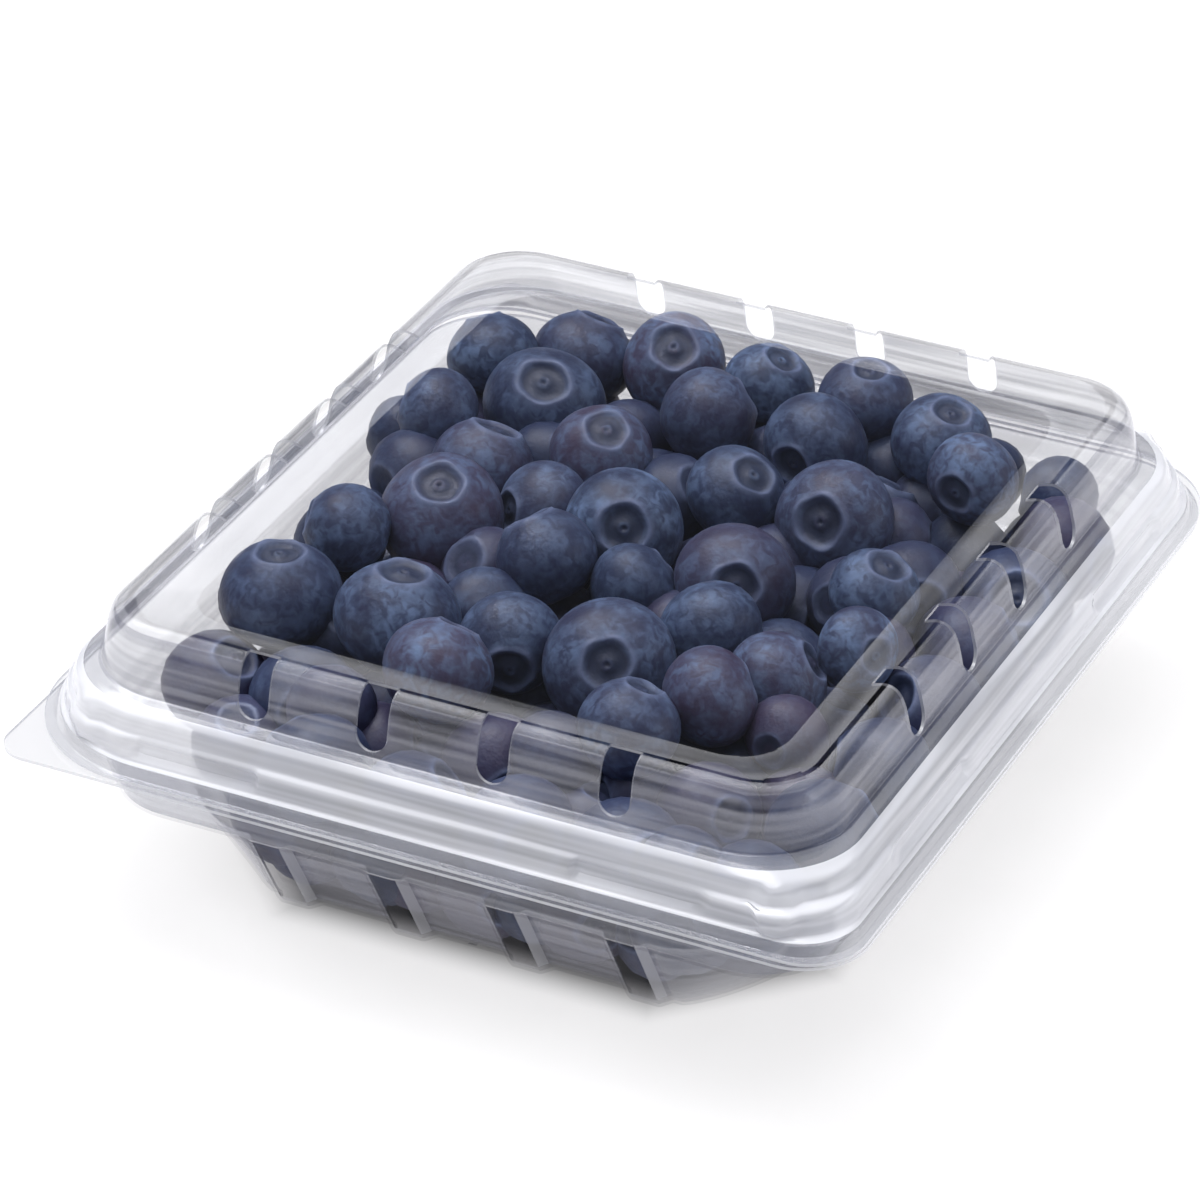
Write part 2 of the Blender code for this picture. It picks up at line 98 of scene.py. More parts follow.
# The places of the plastics in the shells' slots, and how far on their inner faces are.
CLEAR, EDGE, CLOUDED, MILKY, WALL, RIB, BORDER, INNER_FACES = range(8)

# Berries that show on top: x, y, radius, drop below the window, lean towards +x and -y.
TOP_BERRIES = (
    (-41, 41, 6.4, 0.6, -0.5, -0.4),
    (-31, 35, 8.1, 0.0, 0.25, 0.55),
    (-32, 50.5, 7.0, 2.4, 0.2, -0.5),
    (-18, 50.5, 7.2, 0.0, 0.25, 0.6),
    (-7.5, 39, 6.7, 0.4, 0.8, -1.2),
    (-4, 51.5, 6.2, 1.6, 0.4, 0.0),
    (10.5, 52, 6.6, 0.0, 0.15, 0.05),
    (9, 39.5, 7.2, 0.0, -0.15, 1.6),
    (24, 47, 6.9, 0.3, 0.3, 0.1),
    (32.5, 38, 6.1, 0.0, -0.1, 1.5),
    (-39.5, 22, 5.8, 0.6, -1.4, 0.2),
    (-31, 17, 6.9, 2.2, 0.2, -0.4),
    (-30, 0.5, 8.5, 0.0, 0.15, 0.35),
    (-20, 12.5, 6.8, 3.2, -0.8, 1.1),
    (-16.5, 23, 6.8, 0.8, 0.3, 0.3),
    (-6, 7.5, 7.9, 0.0, 0.4, 0.95),
    (4.5, 22.5, 6.6, 1.0, 0.6, 0.2),
    (19, 22.5, 7.9, 0.0, 0.05, 1.1),
    (14, 1.5, 7.7, 0.0, 0.45, 1.05),
    (-12, -7, 6.7, 1.6, -0.6, -0.2),
    (-22, -24.5, 7.9, 0.0, 0.1, -0.1),
    (-39.5, -25, 7.9, 1.0, 0.0, 0.0),
    (-37, -7.5, 6.0, 1.2, -1.2, 0.4),
    (6, -21.5, 8.5, 0.0, 0.35, 0.95),
    (-6.5, -22, 6.7, 2.6, 0.5, 1.7),
    (1, -2.5, 6.0, 3.2, 0.5, -1.0),
    (-13, -12.5, 6.2, 3.4, 0.9, 0.9),
    (15.5, -11.5, 6.7, 0.8, -1.0, -0.9),
    (28.5, -16.5, 6.7, 1.4, 0.9, -0.4),
    (32, 6, 6.0, 0.6, 0.4, 0.0),
    (34.5, -9.5, 5.4, 1.4, 1.2, 0.6),
    (23, -27, 6.3, 0.4, 1.2, -1.2),
    (-11, -34.5, 7.2, 0.2, 0.2, -0.6),
    (18, -35, 6.6, 0.6, 0.2, -0.4),
)
PANEL = 39.4  # the height that the berries may reach, just below the window
GROUND_GAP = 2.1
# Rows pressed to a wall: whether along x, first place, count, place across, centre height.
WALL_ROWS = (
    (True, -37.0, 6, -52.0, 27.5),
    (False, -36.0, 6, 45.0, 28.0),
    (True, -38.0, 6, 52.0, 20.0),
    (False, -22.0, 5, -45.0, 17.0),
    (True, -30.0, 5, -48.0, 13.0),
    (False, -32.0, 5, 42.0, 12.5),
)
WALL_STEP = 15.4
WALL_SIZES = (7.2, 8.2)
FILLS = ((6.8, 8.5, 0.83, 60), (5.8, 7.4, 0.82, 120))  # radii, least distance share, settling turns
FILL_TRIES = 9000
FILL_DROP = 5.0
SQUASH = 0.965  # how near two centres may come, as a share of their radii
FIRM = 0.12  # how readily a berry on top moves, against 1 for one below
BERRY_SEED = 7
EMPTY_NEAR = 14.0  # the front left corner is empty to here, and full from EMPTY_FAR
EMPTY_FAR = 30.0
EMPTY_DROP = 17.0
EDGE_SLOPE = 8.0  # how fast the heap falls towards the front and the two ends
FRONT_FROM = 0.6
SIDE_FROM = 0.72
PLUMP = 1.03  # the berries bulge a little past their places' radii
FILLER_SIZES = (5.4, 6.6)
FILLER_LEAST = 0.70
# Rows on the floor behind the ribs: whether along x, and the place across.
BASE_ROWS = ((True, -46.0), (True, 46.0), (False, -44.0), (False, 44.0))
BASE_SIZES = (6.0, 6.8)
LOW_BLOOM_PAINTED_SHADE = 0.25  # less bloom on the lower berries, which darkens them as painted shade
CORE_HALF = (35, 42, 7.0)  # the half sizes of the lump painted dark as shade
CORE_Z = 15.5
CORE_POWER = 0.45  # 1 would make it an ellipsoid, and less makes it boxier
LOOK_SEED = 31
WILD_LEAN = 1.6  # how far the lower berries lean
# Points round a berry and up it: on top, below, and squeezed in.
TOP_MESH, LOW_MESH, FILLER_MESH = (44, 28), (24, 21), (18, 16)
LOBES = 5  # of a berry's crown
# How dark the crown's floor is, partly its own colour and partly painted shade that follows the
# hollow's depth, and how pale its rim is, at shares of the angle of the rim.
CROWN_TONE_AND_SHADE = ((0.0, 0.12, 0.2, 0.34, 0.8, 0.98), (0.9, 0.6, 0.25, 0.9, 0.85, 0.0))
RIM_PALE = ((0.86, 0.98, 1.08, 1.3), (0.0, 1.0, 0.8, 0.0))
# Rings of a berry from its crown's middle, as shares of the angle of the crown's rim.
CROWN_STEPS = (0.0, 0.08, 0.2, 0.34, 0.6, 0.8, 0.9, 0.96, 1.04, 1.14, 1.26, 1.45)
# The room inside the shells: how far out at each height, and how its corners are cut.
ROOM_LEVELS = (0.5, 1.4, 14.1, 14.7, 24.0, 33.7, 39.5)
ROOM_OUTS = (-12.1, -11.3, -4.3, -2.3, 0.2, -0.9, -2.2)
CUT_LEVELS = (1.4, 14.1, 14.9)
CUT_SHARES = (0.587, 0.665, 0.86)
CUT_STARTS = (28.6, 40.0)

# Area lights: name, place and size in metres, radiance. All aim at the origin.
LIGHTS = (
    ("overhead", (-0.1, 0.1, 1.5), (2.6, 2.6), 1.85),
    ("front_left", (-0.9, -1.5, 0.55), (1.6, 1.0), 0.6),
    ("strip", (-0.46, 0.185, 1.15), (0.6, 0.9), 6.5),
    ("right", (1.6, 0.5, 0.45), (1.4, 0.9), 2.1),
)
AMBIENT = 0.06
FLOOR_HALF = 4.0
# The floor has a painted glow, left out under the pack as a painted shadow: half the shadow's
# sides, its corner cut, the fade, and the glow.
PAINTED_SHADOW_HALF = (0.037, 0.044, 0.0)
PAINTED_SHADOW_CUT = 0.0476
PAINTED_SHADOW_FADE = 0.010
PAINTED_GLOW = 0.76

AZIMUTH, ELEVATION, AWAY = 25.83, 31.47, 0.7917  # the camera's, in degrees and metres
AIM = (-0.0010, -0.0083, 0.0307)
LENS, SENSOR = 181.0, 36.0


def material(name):
    """A new material and its emptied node tree."""
    made = bpy.data.materials.new(name)
    made.use_nodes = True
    made.node_tree.nodes.clear()
    return made, made.node_tree


def node(tree, kind, **values):
    """A new node: keys with a leading underscore set properties, the others set sockets."""
    made = tree.nodes.new(kind)
    for key, value in values.items():
        if key.startswith("_"):
            setattr(made, key[1:], value)
        else:
            made.inputs[key.replace("_", " ")].default_value = value
    return made


def clear_plastic(name, haze, gloss, tint):
    """Clear sheet: see-through face on, glossy and a little milky at a slant."""
    made, tree = material(name)
    link = tree.links.new
    out = node(tree, "ShaderNodeOutputMaterial")
    through = node(tree, "ShaderNodeBsdfTransparent", Color=(*tint, 1.0))
    slant = node(tree, "ShaderNodeLayerWeight", Blend=0.5)
    steep = node(tree, "ShaderNodeMath", _operation="POWER")
    link(slant.outputs["Facing"], steep.inputs[0])
    steep.inputs[1].default_value = 4.2
    grow = node(tree, "ShaderNodeMath", _operation="MULTIPLY_ADD", _use_clamp=True)
    link(steep.outputs[0], grow.inputs[0])
    grow.inputs[1].default_value = gloss
    grow.inputs[2].default_value = haze
    shine = node(tree, "ShaderNodeBsdfGlossy", Roughness=0.09, Color=(0.97, 0.97, 1.0, 1.0))
    mixed = node(tree, "ShaderNodeMixShader")
    link(grow.outputs[0], mixed.inputs["Fac"])
    link(through.outputs[0], mixed.inputs[1])
    link(shine.outputs[0], mixed.inputs[2])
    link(mixed.outputs[0], out.inputs["Surface"])
    return made


def inner_face(name):
    """The sheet's inner face, which only tints what is behind it."""
    made, tree = material(name)
    out = node(tree, "ShaderNodeOutputMaterial")
    through = node(tree, "ShaderNodeBsdfTransparent", Color=(0.935, 0.934, 0.94, 1.0))
    tree.links.new(through.outputs[0], out.inputs["Surface"])
    return made


def milky_plastic(name, haze, reflection_streaks, colour, shine=0.14):
    """The same sheet where it is clouded: at its cut edges, on the walls and folds. Its haze runs
    in horizontal streaks, painted as reflection streaks.
    """
    made, tree = material(name)
    link = tree.links.new
    out = node(tree, "ShaderNodeOutputMaterial")
    through = node(tree, "ShaderNodeBsdfTransparent", Color=(0.97, 0.975, 0.985, 1.0))
    cloudy = node(tree, "ShaderNodeBsdfDiffuse", Color=(*colour, 1.0))
    gloss = node(tree, "ShaderNodeBsdfGlossy", Roughness=0.16, Color=(0.97, 0.97, 1.0, 1.0))
    surface = node(tree, "ShaderNodeMixShader", Fac=shine)
    link(cloudy.outputs[0], surface.inputs[1])
    link(gloss.outputs[0], surface.inputs[2])
    place = node(tree, "ShaderNodeNewGeometry")
    # haze in horizontal streaks, painted as reflection streaks
    stretch = node(tree, "ShaderNodeMapping", Scale=(28.0, 28.0, 900.0))
    link(place.outputs["Position"], stretch.inputs["Vector"])
    cloud = node(tree, "ShaderNodeTexNoise", Scale=1.0, Detail=1.0)
    link(stretch.outputs["Vector"], cloud.inputs["Vector"])
    level = node(tree, "ShaderNodeMapRange", From_Min=0.35, From_Max=0.65)
    level.inputs["To Min"].default_value = haze - reflection_streaks
    level.inputs["To Max"].default_value = haze + reflection_streaks
    link(cloud.outputs["Fac"], level.inputs["Value"])
    clouded = node(tree, "ShaderNodeMixShader")
    link(level.outputs["Result"], clouded.inputs["Fac"])
    link(through.outputs[0], clouded.inputs[1])
    link(surface.outputs[0], clouded.inputs[2])
    slant = node(tree, "ShaderNodeLayerWeight", Blend=0.5)
    steep = node(tree, "ShaderNodeMath", _operation="POWER")
    link(slant.outputs["Facing"], steep.inputs[0])
    steep.inputs[1].default_value = 3.8
    mixed = node(tree, "ShaderNodeMixShader")
    link(steep.outputs[0], mixed.inputs["Fac"])
    link(clouded.outputs[0], mixed.inputs[1])
    link(gloss.outputs[0], mixed.inputs[2])
    link(mixed.outputs[0], out.inputs["Surface"])
    return made


def berry_skin(name):
    """Dark blue skin with a pale dusty bloom, thinned on the lower berries as painted shade, and
    darker in the crown, partly its own bare colour and partly painted shade in its hollow.
    """
    made, tree = material(name)
    link = tree.links.new
    out = node(tree, "ShaderNodeOutputMaterial")
    surface = node(tree, "ShaderNodeBsdfPrincipled", IOR=1.42)
    kind = node(tree, "ShaderNodeVertexColor", _layer_name="berry")
    split = node(tree, "ShaderNodeSeparateColor")
    link(kind.outputs["Color"], split.inputs[0])
    place = node(tree, "ShaderNodeNewGeometry")
    cloud = node(tree, "ShaderNodeTexNoise", Scale=190.0, Detail=3.0, Roughness=0.66)
    link(place.outputs["Position"], cloud.inputs["Vector"])
    fine = node(tree, "ShaderNodeTexNoise", Scale=1500.0, Detail=1.0, Roughness=0.6)
    link(place.outputs["Position"], fine.inputs["Vector"])
    cover = node(tree, "ShaderNodeMapRange", From_Min=0.33, From_Max=0.64)
    link(cloud.outputs["Fac"], cover.inputs["Value"])
    scuff = node(tree, "ShaderNodeTexNoise", Scale=620.0, Detail=2.0, Distortion=0.8)
    link(place.outputs["Position"], scuff.inputs["Vector"])
    worn = node(tree, "ShaderNodeMapRange", From_Min=0.38, From_Max=0.58, To_Min=0.25)
    link(scuff.outputs["Fac"], worn.inputs["Value"])
    kept = node(tree, "ShaderNodeMath", _operation="MULTIPLY")
    link(cover.outputs["Result"], kept.inputs[0])
    link(worn.outputs["Result"], kept.inputs[1])
    # the bloom share of each berry, cut on the lower berries as painted shade
    dust_and_shade = node(tree, "ShaderNodeMath", _operation="MULTIPLY")
    link(kept.outputs[0], dust_and_shade.inputs[0])
    link(split.outputs["Blue"], dust_and_shade.inputs[1])
    skin = node(tree, "ShaderNodeMix", _data_type="RGBA")
    link(split.outputs["Red"], skin.inputs["Factor"])
    skin.inputs["A"].default_value = (0.026, 0.036, 0.086, 1.0)
    skin.inputs["B"].default_value = (0.060, 0.044, 0.088, 1.0)
    bloom_and_shade = node(tree, "ShaderNodeMix", _data_type="RGBA")
    link(dust_and_shade.outputs[0], bloom_and_shade.inputs["Factor"])
    link(skin.outputs["Result"], bloom_and_shade.inputs["A"])
    bloom_and_shade.inputs["B"].default_value = (0.150, 0.222, 0.385, 1.0)
    # darker in the crown: the calyx's own bare colour, and painted shade where its hollow is deep
    crown = node(tree, "ShaderNodeMix", _data_type="RGBA")
    link(split.outputs["Green"], crown.inputs["Factor"])
    link(bloom_and_shade.outputs["Result"], crown.inputs["A"])
    crown.inputs["B"].default_value = (0.032, 0.042, 0.082, 1.0)
    rim = node(tree, "ShaderNodeMix", _data_type="RGBA")
    link(kind.outputs["Alpha"], rim.inputs["Factor"])
    link(crown.outputs["Result"], rim.inputs["A"])
    rim.inputs["B"].default_value = (0.155, 0.195, 0.33, 1.0)
    link(rim.outputs["Result"], surface.inputs["Base Color"])
    rough = node(tree, "ShaderNodeMapRange", To_Min=0.42, To_Max=0.62)
    link(dust_and_shade.outputs[0], rough.inputs["Value"])
    link(rough.outputs["Result"], surface.inputs["Roughness"])
    bump = node(tree, "ShaderNodeBump", Strength=0.32, Distance=0.0002)
    link(fine.outputs["Fac"], bump.inputs["Height"])
    link(bump.outputs["Normal"], surface.inputs["Normal"])
    link(surface.outputs[0], out.inputs["Surface"])
    return made


def painted_glow_floor(name):
    """Pale paper with a painted glow, which is left out under the pack as a painted shadow."""
    made, tree = material(name)
    link = tree.links.new
    out = node(tree, "ShaderNodeOutputMaterial")
    surface = node(tree, "ShaderNodeBsdfPrincipled", Roughness=0.7)
    surface.inputs["Base Color"].default_value = (0.26, 0.26, 0.262, 1.0)
    surface.inputs["Specular IOR Level"].default_value = 0.1
    surface.inputs["Emission Color"].default_value = (1.0, 0.99, 0.995, 1.0)
    place = node(tree, "ShaderNodeNewGeometry")
    whole = node(tree, "ShaderNodeVectorMath", _operation="ABSOLUTE")
    link(place.outputs["Position"], whole.inputs[0])
    past = node(tree, "ShaderNodeVectorMath", _operation="SUBTRACT")
    link(whole.outputs[0], past.inputs[0])
    past.inputs[1].default_value = PAINTED_SHADOW_HALF
    beyond = node(tree, "ShaderNodeVectorMath", _operation="MAXIMUM")
    link(past.outputs[0], beyond.inputs[0])
    apart = node(tree, "ShaderNodeVectorMath", _operation="LENGTH")
    link(beyond.outputs[0], apart.inputs[0])
    slant = node(tree, "ShaderNodeVectorMath", _operation="DOT_PRODUCT")
    link(whole.outputs[0], slant.inputs[0])
    slant.inputs[1].default_value = (0.7071, 0.7071, 0.0)  # a step along the corner's normal
    corner = node(tree, "ShaderNodeMath", _operation="SUBTRACT")
    link(slant.outputs["Value"], corner.inputs[0])
    corner.inputs[1].default_value = PAINTED_SHADOW_CUT
    outside = node(tree, "ShaderNodeMath", _operation="MAXIMUM")
    link(apart.outputs["Value"], outside.inputs[0])
    link(corner.outputs[0], outside.inputs[1])
    # the painted glow: none under the pack, which leaves a painted shadow there, rising to full
    # past the fade
    lift = node(tree, "ShaderNodeMapRange", _interpolation_type="SMOOTHSTEP")
    lift.inputs["From Max"].default_value = PAINTED_SHADOW_FADE
    lift.inputs["To Max"].default_value = PAINTED_GLOW
    link(outside.outputs[0], lift.inputs["Value"])
    link(lift.outputs["Result"], surface.inputs["Emission Strength"])
    link(surface.outputs[0], out.inputs["Surface"])
    return made


def rib_centres():
    """Places of the ribs and slots along a side."""
    return [(index - 0.5 * (PER_SIDE - 1)) * PITCH for index in range(PER_SIDE)]


def rib_share(place):
    """How far out the rib profile is at a place along a side, from 0 to 1."""
    apart = min(abs(place - centre) for centre in rib_centres())
    share = (RIB_HALF + RIB_SLOPE - apart) / RIB_SLOPE
    return min(max(share, 0.0), 1.0)


def middle_places():
    """Places along the middle of a side: evenly spaced, and at the edges of every rib."""
    sharp = []
    for centre in rib_centres():
        for half in (RIB_HALF, RIB_HALF + RIB_SLOPE):
            for sign in (-1, 1):
                sharp += [centre + sign * half + nudge for nudge in (-EDGE_NUDGE, EDGE_NUDGE)]
    even = [STRAIGHT_HALF * step / MIDDLE_STEPS for step in range(-MIDDLE_STEPS, MIDDLE_STEPS + 1)]
    even = [place for place in even if min(abs(place - spot) for spot in sharp) > EDGE_CLEAR]
    return sorted(sharp + even)


MIDDLE = middle_places()


def ring(out, z, corners, bulge=2.0, ribs=0.0, ends=LID_ENDS):
    """A closed ring of points in millimetres, anticlockwise from the back right corner.

    corners holds each corner's reach along x and y, and bulge is 2 for round corners and
    less for flatter ones. ribs is how far out the ribs stand.
    """
    half = (FOOT_HALF[0] + out, FOOT_HALF[1] + out)
    points = []
    for turn, (sx, sy) in enumerate(((1, 1), (-1, 1), (-1, -1), (1, -1))):
        reach = corners[turn]
        for step in range(CORNER_STEPS + 1):
            angle = math.pi / 2 * step / CORNER_STEPS
            if sx * sy < 0:
                angle = math.pi / 2 - angle
            along_x = max(math.cos(angle), 0.0) ** (2 / bulge)
            along_y = max(math.sin(angle), 0.0) ** (2 / bulge)
            x = sx * (half[0] - reach[0] + reach[0] * along_x)
            y = sy * (half[1] - reach[1] + reach[1] * along_y)
            points.append((x, y, z))
        wide = turn % 2 == 0
        here = reach[0 if wide else 1]
        after = corners[(turn + 1) % 4][0 if wide else 1]
        side = half[0] if wide else half[1]
        for place in side_places(here - side, side - after, ends):
            depth = ribs * rib_share(place)
            out_x, out_y = half[0] + depth, half[1] + depth
            spot = ((-place, out_y), (-out_x, -place), (place, -out_y), (out_x, place))[turn]
            points.append((*spot, z))
    return points


def side_places(start, end, ends):
    """Places along a side between its corners: the middle is fixed and the ends stretch."""
    first, last = MIDDLE[0], MIDDLE[-1]
    lead = [start + (first - start) * step / ends for step in range(1, ends)]
    tail = [last + (end - last) * step / ends for step in range(1, ends)]
    return lead + MIDDLE + tail


def softened(stations, steps=5):
    """Round each fold of a profile: every station but the ends becomes a short curve."""
    made = [stations[0][0]]
    for before, here, after in zip(stations, stations[1:], stations[2:]):
        spot, soft = np.array(here[0]), here[1]
        back, ahead = np.array(before[0]) - spot, np.array(after[0]) - spot
        reach_back = soft / max(np.hypot(back[0], back[1]), 1e-6)
        reach_ahead = soft / max(np.hypot(ahead[0], ahead[1]), 1e-6)
        start = spot + back * min(reach_back, 0.48)
        end = spot + ahead * min(reach_ahead, 0.48)
        for step in range(steps + 1):
            share = step / steps
            curve = start * (1 - share) ** 2 + spot * 2 * share * (1 - share) + end * share**2
            made.append(tuple(curve))
    made.append(stations[-1][0])
    return made


def subdivided(profile, longest):
    """Add points on long straight stretches of a profile."""
    made = [profile[0]]
    for before, after in zip(profile, profile[1:]):
        gap = math.hypot(after[0] - before[0], after[1] - before[1])
        count = max(1, math.ceil(gap / longest))
        for step in range(1, count + 1):
            share = step / count
            made.append(tuple(b + (a - b) * share for a, b in zip(after, before)))
    return made


def loft(name, rings, push=None):
    """One surface through the rings, in metres, filled at its last ring."""
    shape = bmesh.new()
    rows = []
    for points in rings:
        row = []
        for point in points:
            if push:
                point = push(point)
            row.append(shape.verts.new([value * MM for value in point]))
        rows.append(row)
    count = len(rows[0])
    for inner, outer in zip(rows, rows[1:]):
        for index in range(count):
            after = (index + 1) % count
            shape.faces.new((inner[index], inner[after], outer[after], outer[index]))
    shape.faces.new(rows[-1])
    bmesh.ops.recalc_face_normals(shape, faces=shape.faces)
    top = [face for face in shape.faces if face.calc_center_median().z > 0.04]
    if sum(face.normal.z * face.calc_area() for face in top) < 0:
        bmesh.ops.reverse_faces(shape, faces=shape.faces)
    mesh = bpy.data.meshes.new(name)
    shape.to_mesh(mesh)
    shape.free()
    return mesh


def add(name, mesh, *surfaces):
    """A new object of the mesh, with these materials in its slots."""
    made = bpy.data.objects.new(name, mesh)
    bpy.context.scene.collection.objects.link(made)
    for surface in surfaces:
        mesh.materials.append(surface)
    return made


def smooth(made, angle=35.0):
    """Smooth shading, with edges sharper than the angle kept crisp."""
    mesh = made.data
    mesh.polygons.foreach_set("use_smooth", [True] * len(mesh.polygons))
    shape = bmesh.new()
    shape.from_mesh(mesh)
    limit = math.radians(angle)
    for edge in shape.edges:
        if len(edge.link_faces) == 2:
            edge.smooth = edge.calc_face_angle(0.0) < limit
    shape.to_mesh(mesh)
    shape.free()


def apply_modifiers(made):
    """Turn what the modifiers make into the object's own mesh."""
    graph = bpy.context.evaluated_depsgraph_get()
    mesh = bpy.data.meshes.new_from_object(made.evaluated_get(graph))
    old = made.data
    made.modifiers.clear()
    made.data = mesh
    bpy.data.meshes.remove(old)


def thicken(made):
    """Give a surface the sheet's thickness, with its own slots on the inner faces."""
    solid = made.modifiers.new("sheet", "SOLIDIFY")
    solid.thickness = SHEET * MM
    solid.offset = 0.0
    solid.use_even_offset = True
    solid.use_rim = True
    solid.material_offset = INNER_FACES
    solid.material_offset_rim = EDGE


def stadium(u, v, half_u, half_v, edge):
    """1 inside a rounded bar, falling to 0 across its edge."""
    radius = min(half_u, half_v)
    du = max(abs(u) - (half_u - radius), 0.0)
    dv = max(abs(v) - (half_v - radius), 0.0)
    apart = radius - math.hypot(du, dv)
    share = min(max(apart / edge, 0.0), 1.0)
    return share * share * (3 - 2 * share)


def lid_marks():
    """Raised and sunken marks on the lid's lower wall: centre, facing, half size, depth."""
    marks = []
    wall_y, wall_x = FOOT_HALF[1] + 4.4, FOOT_HALF[0] + 4.4
    for side in (-1, 1):
        for face in (-1, 1):
            marks.append(((side * 31.0, face * wall_y, 28.9), (0, face), 9.6, 1.5, -0.7))
            marks.append(((side * 31.0, face * wall_y, 28.6), (0, face), 7.6, 0.55, 0.5))
        marks.append(((side * wall_x, 33.0, 28.9), (side, 0), 12.0, 1.5, -0.6))
        marks.append(((side * wall_x, -33.0, 28.9), (side, 0), 12.0, 1.5, -0.6))
    for sx in (-1, 1):
        for sy in (-1, 1):
            marks.append(((sx * 48.8, sy * 62.2, 30.0), (0.25 * sx, 0.97 * sy), 2.9, 3.0, 0.9))
    return marks


LID_MARKS = lid_marks()


def press_marks(point):
    """Move a point of the lid's wall out or in where a mark is pressed."""
    x, y, z = point
    if not MARKS_LOW < z < MARKS_HIGH:
        return point
    for (cx, cy, cz), (nx, ny), half_u, half_v, depth in LID_MARKS:
        along = (x - cx) * -ny + (y - cy) * nx
        away = (x - cx) * nx + (y - cy) * ny
        if abs(away) < MARK_REACH and abs(along) < half_u + 1:
            share = stadium(along, z - cz, half_u, half_v, MARK_EDGE) * depth
            x, y = x + nx * share, y + ny * share
    return (x, y, z)


def lid_profile():
    """Stations (out, z, share of the foot's corner) from the flange to the window."""
    flat = LID_FLANGE_Z
    stations = [
        ((FLANGE_OUT, flat, 0.0), 0.0),
        ((6.6, flat, 0.0), 0.25),
        ((6.0, flat + 1.4, 0.0), 0.35),
        ((5.3, flat + 1.75, 0.15), 0.3),
        ((4.75, flat + 4.4, 0.3), 0.35),
        ((3.9, flat + 4.9, 0.5), 0.3),
        ((3.3, flat + 7.0, 0.7), 0.5),
        ((1.9, HEIGHT - 8.9, 1.0), 0.5),
        ((0.0, HEIGHT - 8.5, 1.3), 0.5),
        ((-1.25, HEIGHT - 2.7, 2.0), 1.0),
        ((-2.1, HEIGHT - 0.9, 2.4), 0.8),
        ((-3.7, HEIGHT - SHEET / 2, 3.0), 0.9),
        ((-9.3, HEIGHT - 1.9, 3.2), 0.5),
        ((-10.5, HEIGHT - 2.3, 3.2), 0.6),
        ((-12.5, HEIGHT - 2.35, 3.3), 0.0),
    ]
    return subdivided(softened(stations), LID_STEP)


def lid_corner(share):
    """Corner reaches for a share: flange at 0, ledge at 1, foot, ridge and window beyond."""
    ledge, foot, ridge = 13.0, 12.0, 7.5
    corners = []
    for flange in FLANGE_CORNERS:
        if share <= 1:
            radius = (flange - 1.2) + (ledge - flange + 1.2) * share
        elif share <= 1.3:
            radius = ledge + (foot - ledge) * (share - 1) / 0.3
        elif share <= 3:
            radius = foot + (ridge - foot) * (share - 1.3) / 1.7
        else:
            radius = ridge
        corners.append((radius, radius))
    return corners


def slot_cutter():
    """Straight slots with round feet through the dome's shoulder, four on each side."""
    shape = bmesh.new()
    half = SLOT_WIDTH / 2
    for turn in range(4):
        for place in rib_centres():
            outline = [(half, SLOT_WIDTH), (-half, SLOT_WIDTH)]
            for step in range(17):
                angle = math.pi + math.pi * step / 16
                outline.append((half * math.cos(angle), -SLOT_FOOT + half + half * math.sin(angle)))
            side = FOOT_HALF[1] if turn % 2 == 0 else FOOT_HALF[0]
            near = side - 3.5 - SLOT_PAST[turn % 2]
            angle = math.pi / 2 * turn
            verts = []
            for along, up in outline:
                x = (place + along) * math.cos(angle) - near * math.sin(angle)
                y = (place + along) * math.sin(angle) + near * math.cos(angle)
                verts.append(shape.verts.new((x * MM, y * MM, (HEIGHT + up) * MM)))
            face = shape.faces.new(verts)
            grown = bmesh.ops.extrude_face_region(shape, geom=[face])["geom"]
            moved = [part for part in grown if isinstance(part, bmesh.types.BMVert)]
            push = side + 4.0 - near
            step = Vector((-push * math.sin(angle), push * math.cos(angle), 0)) * MM
            bmesh.ops.translate(shape, verts=moved, vec=step)
    bmesh.ops.recalc_face_normals(shape, faces=shape.faces)
    mesh = bpy.data.meshes.new("slot_cutter")
    shape.to_mesh(mesh)
    shape.free()
    return mesh


def make_lid(surfaces):
    """The lid, with its slots cut through."""
    rings = [ring(out, z, lid_corner(share)) for out, z, share in lid_profile()]
    lid = add("lid_shell", loft("lid_shell", rings, press_marks), *surfaces)
    for polygon in lid.data.polygons:
        z = polygon.center.z / MM
        if LID_FLANGE_Z + BEAD_RISE < z < HEIGHT - LOWER_WALL_DROP:
            polygon.material_index = MILKY
        elif z < HEIGHT - DOME_DROP:
            polygon.material_index = CLOUDED
        elif z < HEIGHT - SHOULDER_DROP or polygon.normal.z < STEEP:
            polygon.material_index = WALL
        elif polygon.normal.z < LEVEL:
            polygon.material_index = BORDER
    thicken(lid)
    cutter = add("slot_cutter", slot_cutter(), *surfaces)
    for polygon in cutter.data.polygons:
        polygon.material_index = EDGE
    slots = lid.modifiers.new("slots", "BOOLEAN")
    slots.operation = "DIFFERENCE"
    slots.solver = "EXACT"
    slots.object = cutter
    apply_modifiers(lid)
    bpy.data.objects.remove(cutter)
    smooth(lid)
    return lid


def tub_profile():
    """Stations (out, z, corner kind, ribs) from the tub's flange down to its floor."""
    flat = TUB_FLANGE_Z
    stations = [
        ((FLANGE_OUT, flat, 0.0, 0.0), 0.0),
        ((1.7, flat, 1.0, 0.0), 0.4),
        ((1.0, flat - 0.9, 1.0, 0.0), 0.4),
        ((-1.5, HEIGHT - 27.5, 2.0, 0.0), 0.35),
        ((-3.6, HEIGHT - 28.1, 3.0, 1.0), 0.35),
        ((-10.6, 1.4, 4.0, 1.0), 0.6),
        ((-11.6, SHEET / 2, 4.05, 1.0), 0.4),
        ((-14.6, SHEET / 2, 4.2, 0.0), 0.4),
        ((-16.2, 1.6, 4.3, 0.0), 0.4),
        ((-18.5, 1.6, 4.4, 0.0), 0.0),
    ]
    return subdivided(softened(stations), TUB_STEP)


